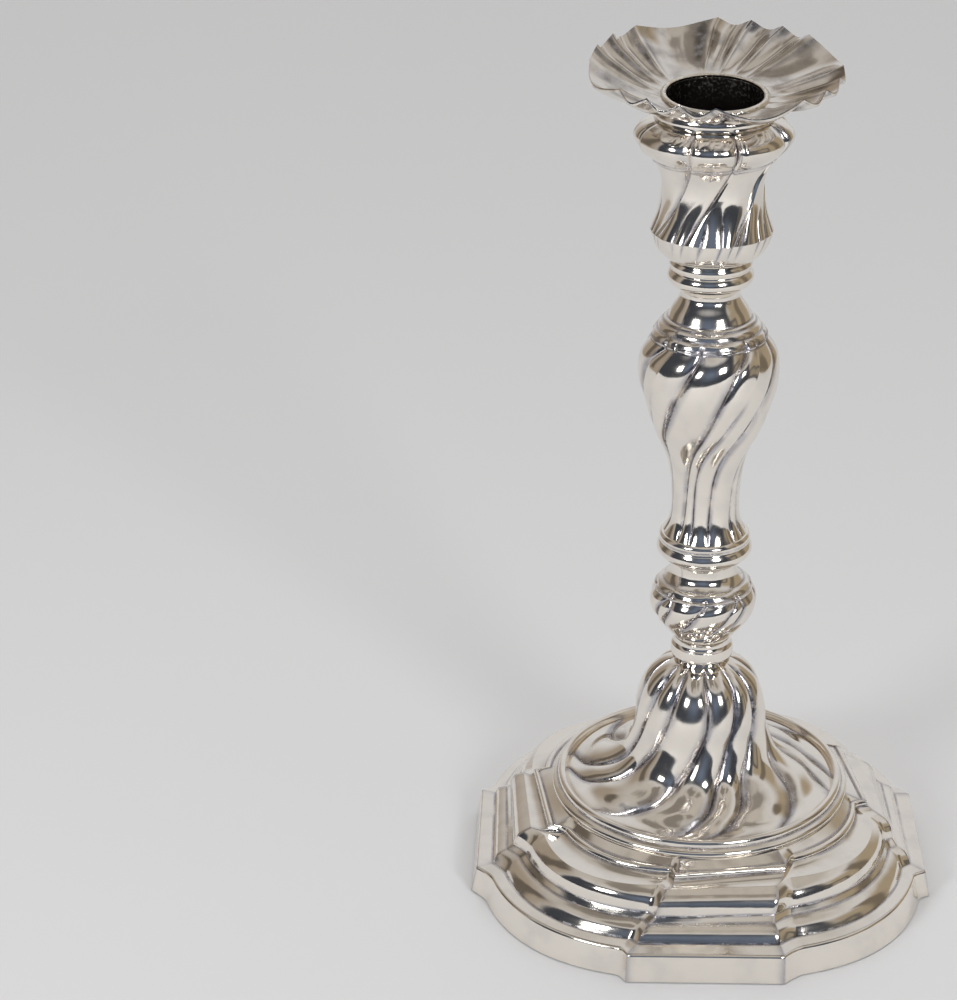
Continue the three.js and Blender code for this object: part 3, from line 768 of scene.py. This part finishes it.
def silver_material(name, tone, shade, tarnish_and_shadow_colour, matt, dirt):
    """Worn silver: lilac-grey residue and dark tarnish in the hollows, and a thin veil of
    shade over the tone, as strong as dirt says. On the drip pan the marks and the dark colour
    are painted shadow beside the ridges. Inside a casting it is nearly black."""
    material, n, shader = new_material(name)
    # Hollows: real tarnish in grooves and creases, and on the drip pan painted shadow beside the
    # ridges.
    hollow = n.math("MAXIMUM", n.step(n.mark("groove_tarnish_and_ridge_shadow"), 0.10, 0.95), n.step(n.mark("crease"), 0.2, 1.0))
    grain = n.noise(1700, 3)
    cloud = n.noise(110, 3)
    residue = n.math("MULTIPLY", hollow, n.step(n.noise(420, 4), 0.36, 0.66))
    # Dark tarnish in the hollows; on the drip pan it is painted shadow beside the ridges.
    tarnish_and_shadow = n.math("MULTIPLY", hollow, n.step(cloud, 0.30, 0.58))
    veil = n.math("MULTIPLY", n.step(n.noise(150, 5), 0.44, 0.70), dirt)
    colour = n.mix(veil, tone, shade)
    colour = n.mix(n.math("MULTIPLY", tarnish_and_shadow, 0.75), colour, tarnish_and_shadow_colour)
    colour = n.mix(n.math("MULTIPLY", residue, 0.50), colour, RESIDUE)
    unseen = n.step(n.mark("inside"), 0.1, 0.9)
    n.put(n.mix(unseen, colour, UNSEEN_SILVER), shader.inputs["Base Color"])
    shader.inputs["Metallic"].default_value = 1.0
    rough = n.math("ADD", n.math("MULTIPLY", unseen, 0.30), n.math("MULTIPLY", cloud, 0.10))
    rough = n.math("ADD", rough, n.math("MULTIPLY", residue, 0.22))
    rough = n.math("ADD", rough, n.math("MULTIPLY", veil, 0.12))
    n.put(n.math("ADD", rough, matt), shader.inputs["Roughness"])
    pits = n.math("MULTIPLY", n.math("MULTIPLY", grain, hollow), 0.35)
    waves = n.math("MULTIPLY", n.noise(150, 1), 1.3)
    n.put(n.bump(n.math("ADD", pits, waves), 0.00009), shader.inputs["Normal"])
    return material


def soot_material():
    """The nozzle's sleeve and the floor of the well: soot has blackened all but the lip."""
    material, n, shader = new_material("sooty_silver")
    rise = n.mark("rise")
    lip = n.step(rise, LIP_FROM, LIP_TO)
    spots = n.step(n.noise(1300, 5), 0.48, 0.74)
    upper = n.math("MULTIPLY", spots, n.step(rise, SOOT_FROM, SOOT_TO))
    colour = n.mix(n.math("MULTIPLY", upper, 0.5), SOOT, RUBBED_SOOT)
    n.put(n.mix(lip, colour, LIP_SILVER), shader.inputs["Base Color"])
    shader.inputs["Metallic"].default_value = 1.0
    n.put(n.math("SUBTRACT", 0.5, n.math("MULTIPLY", lip, 0.36)), shader.inputs["Roughness"])
    n.put(n.bump(spots, 0.00006), shader.inputs["Normal"])
    return material


def wood_material():
    """A turned board of pale reddish wood, its grain along one way, with dusty patches."""
    material, n, shader = new_material("board_wood")
    wave = n.node("ShaderNodeTexWave", wave_type="BANDS", bands_direction="X")
    n.put(n.node("ShaderNodeTexCoord").outputs["Object"], wave.inputs["Vector"])
    wave.inputs["Scale"].default_value = 130
    wave.inputs["Distortion"].default_value = 3.5
    wave.inputs["Detail"].default_value = 3
    dust = n.math("MULTIPLY", n.step(n.noise(70, 4), 0.42, 0.66), 0.5)
    colour = n.mix(wave.outputs["Fac"], WOOD_DARK, WOOD_PALE)
    n.put(n.mix(dust, colour, WOOD_DUST), shader.inputs["Base Color"])
    shader.inputs["Roughness"].default_value = 0.75
    n.put(n.bump(wave.outputs["Fac"], 0.00008), shader.inputs["Normal"])
    return material


def baize_material():
    """Olive green twill, stained brown, rubbed to a chalky white in patches."""
    material, n, shader = new_material("worn_baize")
    threads = []
    for direction in ("DIAGONAL", "X"):
        wave = n.node("ShaderNodeTexWave", wave_type="BANDS", bands_direction=direction)
        n.put(n.node("ShaderNodeTexCoord").outputs["Object"], wave.inputs["Vector"])
        wave.inputs["Scale"].default_value = 420
        wave.inputs["Distortion"].default_value = 1.2
        threads.append(wave.outputs["Fac"])
    weave = n.math("MULTIPLY", threads[0], threads[1])
    colour = n.mix(weave, BAIZE_DEEP, BAIZE_GREEN)
    stain = n.step(n.noise(42, 4), 0.47, 0.62)
    colour = n.mix(n.math("MULTIPLY", stain, 0.6), colour, BAIZE_BROWN)
    patches = n.step(n.noise(24, 6), 0.52, 0.60)
    worn = n.math("MULTIPLY", patches, n.step(n.noise(1100, 3), 0.36, 0.52))
    n.put(n.mix(n.math("MULTIPLY", worn, 0.9), colour, BAIZE_CHALK), shader.inputs["Base Color"])
    shader.inputs["Roughness"].default_value = 0.95
    shader.inputs["Sheen Weight"].default_value = 0.25
    n.put(n.bump(weave, 0.0002), shader.inputs["Normal"])
    return material


# ---------------------------------------------------------------- pieces

SILVER = silver_material(
    "polished_silver", tone=(0.905, 0.855, 0.785), shade=(0.70, 0.67, 0.63), tarnish_and_shadow_colour=(0.27, 0.26, 0.29),
    matt=0.055, dirt=0.35)
# On the drip pan the dark colour paints the shadow beside the ridges.
PAN_SILVER = silver_material(
    "dull_silver", tone=(0.82, 0.775, 0.72), shade=(0.34, 0.315, 0.295), tarnish_and_shadow_colour=(0.10, 0.095, 0.095),
    matt=0.085, dirt=0.65)
SOOTY = soot_material()
WOOD = wood_material()
BAIZE = baize_material()

add_piece("drip_pan_fine", pan_mesh("drip_pan_fine"), "nozzle", "silver", PAN_SILVER, "drip_pan")
add_piece("nozzle_sleeve_fine", sleeve_mesh("nozzle_sleeve_fine"),
          "nozzle", "sooted_silver", SOOTY, "nozzle_sleeve")

add_cast_pair("socket", SOCKET, SOCKET_INSIDE, step=0.35, per_lobe=10, material=SILVER)
add_cast_pair("stem", STEM, STEM_INSIDE, step=0.4, per_lobe=16, material=SILVER)
add_cast_pair("knop", KNOP, KNOP_INSIDE, step=0.3, per_lobe=16, material=SILVER)

RINGS = {                      # profile, and columns round the ring
    "socket_mouth_ring": (SOCKET_MOUTH_RING, 192),
    "socket_foot_ring": (SOCKET_FOOT_RING, 160),
    "stem_foot_ring": (STEM_FOOT_RING, 160),
    "knop_foot_ring": (KNOP_FOOT_RING, 144),
    "bead_ring": (BEAD_RING, 320),
}
for node, (runs, columns) in RINGS.items():
    ring = ring_mesh(node + "_fine", runs, step=0.2, columns=columns)
    add_piece(node + "_fine", ring, "stick", "silver", SILVER, node)

dome = shell_mesh("base_dome_fine", DOME, DOME_INSIDE, step=0.45, per_lobe=18)
add_piece("base_dome_fine", dome, "stick", "silver", SILVER, "base_dome")
add_piece("foot_moulding_fine", moulding_mesh("foot_moulding_fine"),
          "stick", "silver", SILVER, "foot_moulding")
add_piece("foot_band_fine", band_mesh("foot_band_fine"), "stick", "silver", SILVER, "foot_band")

board = ring_mesh("base_board_fine", BASE_BOARD, step=1.2, columns=256)
add_piece("base_board_fine", board, "stick", "wood", WOOD, "base_board")
pad = add_piece("baize_pad_fine", baize_mesh("baize_pad_fine"), "stick", "baize", BAIZE, "baize_pad")

# The floor of the well stays the CAD node, with soot on it.
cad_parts["socket_floor"].data.materials.clear()
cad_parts["socket_floor"].data.materials.append(SOOTY)

# ---------------------------------------------------------------- studio
# Azimuths are seen from the candlestick, 0 at the front (-Y) and positive to the right (+X).

FLOOR_HEIGHT = -0.0003
SHEET_HEIGHT = -0.0002
PAPER = (0.70, 0.708, 0.722)

REAR_WALL = (0.66, 0.66, 0.67)
CEILING = (0.50, 0.47, 0.43)
BACKDROP = (0.62, 0.62, 0.63)
CEILING_FROM, CEILING_TO = 40, 66          # elevations where the wall becomes the ceiling
WANDER_FROM, WANDER_TO = 44, 62            # elevations where edges begin to wander
WANDER_TURN = 170                          # how far they wander, in degrees
WANDER_RISE = 60
ROOM = [
    # azimuth from and to, elevation from and to, softness, colour
    (-150, -84, -20, 50, 16, (0.34, 0.29, 0.235)),
    (-84, 64, -40, 47, 4, (0.045, 0.050, 0.062)),
    (-22, 16, 6, 34, 18, (0.15, 0.19, 0.27)),
    (64, 142, -40, 40, 8, (0.36, 0.30, 0.215)),
    (-120, -102, -5, 46, 3, (0.13, 0.11, 0.09)),
    (97, 113, -8, 44, 3, (0.17, 0.14, 0.105)),
    (-72, -8, 59, 82, 2.5, (0.24, 0.215, 0.19)),
    (18, 70, 64, 79, 2.5, (0.27, 0.24, 0.21)),
    (128, 170, 58, 74, 2.5, (0.27, 0.245, 0.22)),
    (-166, -112, 62, 78, 2.5, (0.24, 0.215, 0.19)),
    (60, 84, -12, 22, 2, (0.10, 0.095, 0.09)),
    (66, 80, -2, 17, 1.5, (0.30, 0.26, 0.20)),
]

LAMP_CENTRE = 0.1                          # lamps point at this height on the axis

CAMERA_DISTANCE = 0.6224                   # metres from the axis at CAMERA_AIM
CAMERA_AIM = 0.105
CAMERA_PITCH = 24.35
CAMERA_YAW = 5.0                           # then turned to the left
CAMERA_TILT = -0.588                       # then up, if above 0
CAMERA_ROLL = 1.33
CAMERA_LENS = 93.3


def add_plane(name, low, high, height, material):
    """A flat sheet between two corners, x and y in metres."""
    mesh = bpy.data.meshes.new(name)
    corners = [(low[0], low[1]), (high[0], low[1]), (high[0], high[1]), (low[0], high[1])]
    mesh.from_pydata([(x, y, height) for x, y in corners], [], [(0, 1, 2, 3)])
    mesh.materials.append(material)
    plane = bpy.data.objects.new(name, mesh)
    bpy.context.scene.collection.objects.link(plane)
    return plane


def add_floor():
    """The floor, and the sheet of paper that the silver mirrors: the room begins past its edge."""
    paper = plain_material("floor_paper", PAPER, 0.9)
    floor = add_plane("studio_floor", (-6, -4), (6, 8), FLOOR_HEIGHT, paper)
    floor.visible_glossy = False
    sheet = add_plane("studio_paper", (-0.75, -0.62), (0.85, 2.2), SHEET_HEIGHT, paper)
    sheet.visible_camera = False
    sheet.visible_diffuse = False
    sheet.visible_shadow = False


def add_world():
    """The room round the candlestick: a white rear, a cream ceiling, a dark front and brown
    sides. The camera sees a plain backdrop in its place. Azimuth and elevation are in degrees."""
    world = bpy.data.worlds.new("studio_world")
    world.use_nodes = True
    n = Nodes(world.node_tree)
    direction = n.node("ShaderNodeTexCoord").outputs["Generated"]
    axes = n.node("ShaderNodeSeparateXYZ")
    n.put(direction, axes.inputs[0])
    x, y, z = axes.outputs
    turn = n.math("ARCTAN2", x, n.math("MULTIPLY", y, -1.0))
    azimuth = n.math("MULTIPLY", turn, math.degrees(1))
    elevation = n.math("MULTIPLY", n.math("ARCSINE", z), math.degrees(1))
    wobble = n.node("ShaderNodeTexNoise")
    n.put(direction, wobble.inputs["Vector"])
    wobble.inputs["Scale"].default_value = 2.6
    high_up = n.step(elevation, WANDER_FROM, WANDER_TO)
    wander = n.math("MULTIPLY", n.math("SUBTRACT", wobble.outputs["Fac"], 0.5), high_up)
    azimuth = n.math("ADD", azimuth, n.math("MULTIPLY", wander, WANDER_TURN))
    elevation = n.math("ADD", elevation, n.math("MULTIPLY", wander, WANDER_RISE))
    colour = n.mix(n.step(elevation, CEILING_FROM, CEILING_TO), REAR_WALL, CEILING)
    for left, right, low, high, soft, shade in ROOM:
        inside = n.math("MULTIPLY", n.step(azimuth, left - soft, left + soft),
                        n.step(azimuth, right + soft, right - soft))
        inside = n.math("MULTIPLY", inside, n.step(elevation, low - soft, low + soft))
        inside = n.math("MULTIPLY", inside, n.step(elevation, high + soft, high - soft))
        colour = n.mix(inside, colour, shade)
    seen = n.node("ShaderNodeLightPath").outputs["Is Camera Ray"]
    background = world.node_tree.nodes["Background"]
    n.put(n.mix(seen, colour, BACKDROP), background.inputs["Color"])
    bpy.context.scene.world = world


def add_lamp(name, azimuth, elevation, distance, size, power):
    """A square lamp in a direction seen from the candlestick, pointing back at it."""
    light = bpy.data.lights.new(name, "AREA")
    light.shape = "RECTANGLE"
    light.size = size
    light.size_y = size
    light.energy = power
    lamp = bpy.data.objects.new(name, light)
    bpy.context.scene.collection.objects.link(lamp)
    turn = math.radians(azimuth)
    rise = math.radians(elevation)
    x = math.sin(turn) * math.cos(rise)
    y = -math.cos(turn) * math.cos(rise)
    direction = Vector((x, y, math.sin(rise)))
    lamp.location = direction * distance + Vector((0, 0, LAMP_CENTRE))
    lamp.rotation_euler = direction.to_track_quat("Z", "Y").to_euler()
    return lamp


def add_camera():
    """The camera in front, looking down on the candlestick and aimed a little past its axis."""
    e = math.radians(CAMERA_PITCH)
    forward = Vector((0, math.cos(e), -math.sin(e)))
    right = Vector((1, 0, 0))
    up = right.cross(forward)
    y = math.radians(CAMERA_YAW)
    forward1 = forward * math.cos(y) - right * math.sin(y)
    right1 = right * math.cos(y) + forward * math.sin(y)
    t = math.radians(CAMERA_TILT)
    forward2 = forward1 * math.cos(t) + up * math.sin(t)
    up2 = up * math.cos(t) - forward1 * math.sin(t)
    r = math.radians(CAMERA_ROLL)
    across = right1 * math.cos(r) + up2 * math.sin(r)
    upward = up2 * math.cos(r) - right1 * math.sin(r)
    data = bpy.data.cameras.new("camera")
    data.lens = CAMERA_LENS
    data.sensor_width = 36
    data.clip_start = 0.05
    camera = bpy.data.objects.new("camera", data)
    bpy.context.scene.collection.objects.link(camera)
    height = CAMERA_AIM + CAMERA_DISTANCE * math.sin(e)
    spot = Vector((0, -CAMERA_DISTANCE * math.cos(e), height))
    turn = Matrix((across, upward, -forward2)).transposed().to_4x4()
    camera.matrix_world = Matrix.Translation(spot) @ turn
    bpy.context.scene.camera = camera


add_floor()
add_world()
add_lamp("lamp_left", azimuth=-40, elevation=25, distance=1.2, size=0.30, power=4.5)
add_lamp("lamp_right", azimuth=32, elevation=26, distance=1.2, size=0.30, power=4.5)
overhead = add_lamp("lamp_overhead", azimuth=180, elevation=68, distance=2.9, size=5.0, power=55)
overhead.visible_glossy = False
add_camera()
bpy.context.scene.view_settings.view_transform = "Standard"
